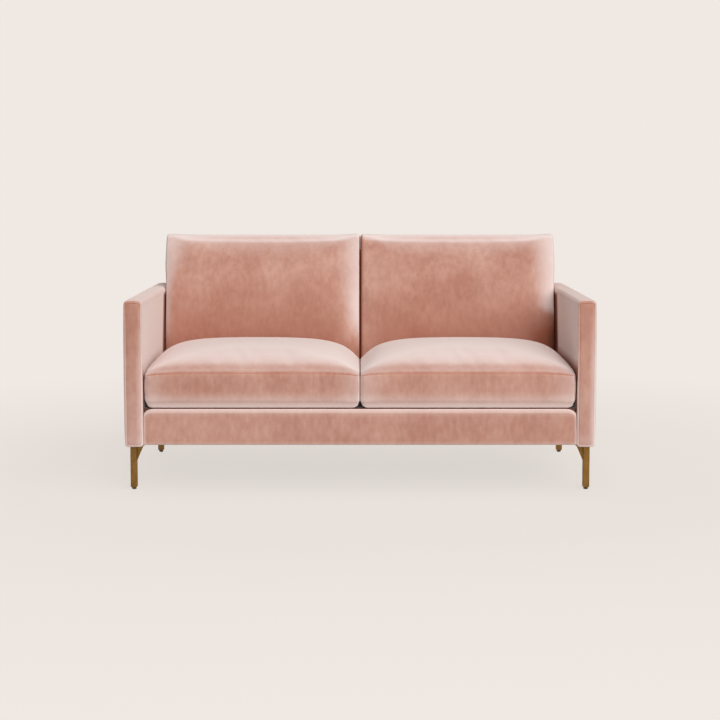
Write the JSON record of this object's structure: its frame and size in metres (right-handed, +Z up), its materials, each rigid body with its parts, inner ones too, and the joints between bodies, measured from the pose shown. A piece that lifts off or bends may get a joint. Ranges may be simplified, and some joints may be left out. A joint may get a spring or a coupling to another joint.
{
  "type": "loveseat",
  "caption": "Two-seat loveseat with square track arms, loose crowned seat and back cushions in pink velvet and slim brass-coloured metal legs.",
  "frame": {"origin": "on the floor under the middle of the sofa", "axes": "+X along the width, to the right as seen from the front; +Y towards the back; +Z up"},
  "size_m": [1.56, 0.88, 0.8347],
  "materials": {
    "velvet": "blush-pink short-pile velvet",
    "deck_cloth": "plain woven platform cloth in dark rose brown",
    "dust_cloth": "black non-woven dust cloth",
    "foam": "cream foam and fibre filling",
    "webbing": "elastic upholstery webbing",
    "zip_tape": "woven zip tape with a nylon coil",
    "zip_metal": "antique brass slider",
    "frame_wood": "planed hardwood and plywood",
    "hardboard": "thin brown hardboard",
    "steel": "bright zinc",
    "leg_brass": "satin aged brass",
    "glide_plastic": "black nylon"
  },
  "bodies": {
    "frame": {"arm_boards": "hardboard", "arm_bolts": "steel", "back_board": "hardboard", "back_cover": "velvet", "back_lower_rails": "frame_wood", "back_padding": "foam", "back_posts": "frame_wood", "back_top_rail": "frame_wood", "back_webbing": "webbing", "centre_stretcher": "frame_wood", "corner_blocks": "frame_wood", "deck_cloth": "deck_cloth", "deck_pad": "foam", "dust_cover": "dust_cloth", "frame_dowels": "frame_wood", "front_left_leg": "leg_brass", "front_rail": "frame_wood", "front_rail_cover": "velvet", "front_rail_padding": "foam", "front_right_leg": "leg_brass", "left_arm_bottom_rail": "frame_wood", "left_arm_cover": "velvet", "left_arm_front_post": "frame_wood", "left_arm_padding": "foam", "left_arm_rear_post": "frame_wood", "left_arm_top_rail": "frame_wood", "left_side_rail": "frame_wood", "leg_glides": "glide_plastic", "leg_gussets": "leg_brass", "leg_plates": "leg_brass", "leg_screws": "steel", "rear_left_leg": "leg_brass", "rear_right_leg": "leg_brass", "right_arm_bottom_rail": "frame_wood", "right_arm_cover": "velvet", "right_arm_front_post": "frame_wood", "right_arm_padding": "foam", "right_arm_rear_post": "frame_wood", "right_arm_top_rail": "frame_wood", "right_side_rail": "frame_wood", "seat_back_rail": "frame_wood", "seat_springs": "steel", "spring_clips": "steel", "threaded_inserts": "steel"},
    "left_seat_cushion": {"left_seat_cushion_cover": "velvet", "left_seat_cushion_core": "foam", "left_seat_zip": "zip_tape"},
    "left_seat_zip_slider": {"left_seat_zip_slider": "zip_metal"},
    "left_back_cushion": {"left_back_cushion_cover": "velvet", "left_back_cushion_core": "foam", "left_back_zip": "zip_tape"},
    "left_back_zip_slider": {"left_back_zip_slider": "zip_metal"},
    "right_seat_cushion": {"right_seat_cushion_cover": "velvet", "right_seat_cushion_core": "foam", "right_seat_zip": "zip_tape"},
    "right_seat_zip_slider": {"right_seat_zip_slider": "zip_metal"},
    "right_back_cushion": {"right_back_cushion_cover": "velvet", "right_back_cushion_core": "foam", "right_back_zip": "zip_tape"},
    "right_back_zip_slider": {"right_back_zip_slider": "zip_metal"}
  },
  "joints": [
    {"name": "left_seat_lift", "type": "slide", "parent": "frame", "child": "left_seat_cushion", "axis": [0, 0, 1], "range_m": [0, 0.45]},
    {"name": "left_back_lift", "type": "slide", "parent": "frame", "child": "left_back_cushion", "axis": [0, 0.2079, 0.9781], "range_m": [0, 0.5]},
    {"name": "left_seat_zip_slide", "type": "slide", "parent": "left_seat_cushion", "child": "left_seat_zip_slider", "axis": [1, 0, 0], "range_m": [0, 0.457]},
    {"name": "left_back_zip_slide", "type": "slide", "parent": "left_back_cushion", "child": "left_back_zip_slider", "axis": [1, 0, 0], "range_m": [0, 0.462]},
    {"name": "right_seat_lift", "type": "slide", "parent": "frame", "child": "right_seat_cushion", "axis": [0, 0, 1], "range_m": [0, 0.45]},
    {"name": "right_back_lift", "type": "slide", "parent": "frame", "child": "right_back_cushion", "axis": [0, 0.2079, 0.9781], "range_m": [0, 0.5]},
    {"name": "right_seat_zip_slide", "type": "slide", "parent": "right_seat_cushion", "child": "right_seat_zip_slider", "axis": [1, 0, 0], "range_m": [0, 0.457]},
    {"name": "right_back_zip_slide", "type": "slide", "parent": "right_back_cushion", "child": "right_back_zip_slider", "axis": [1, 0, 0], "range_m": [0, 0.462]}
  ]
}
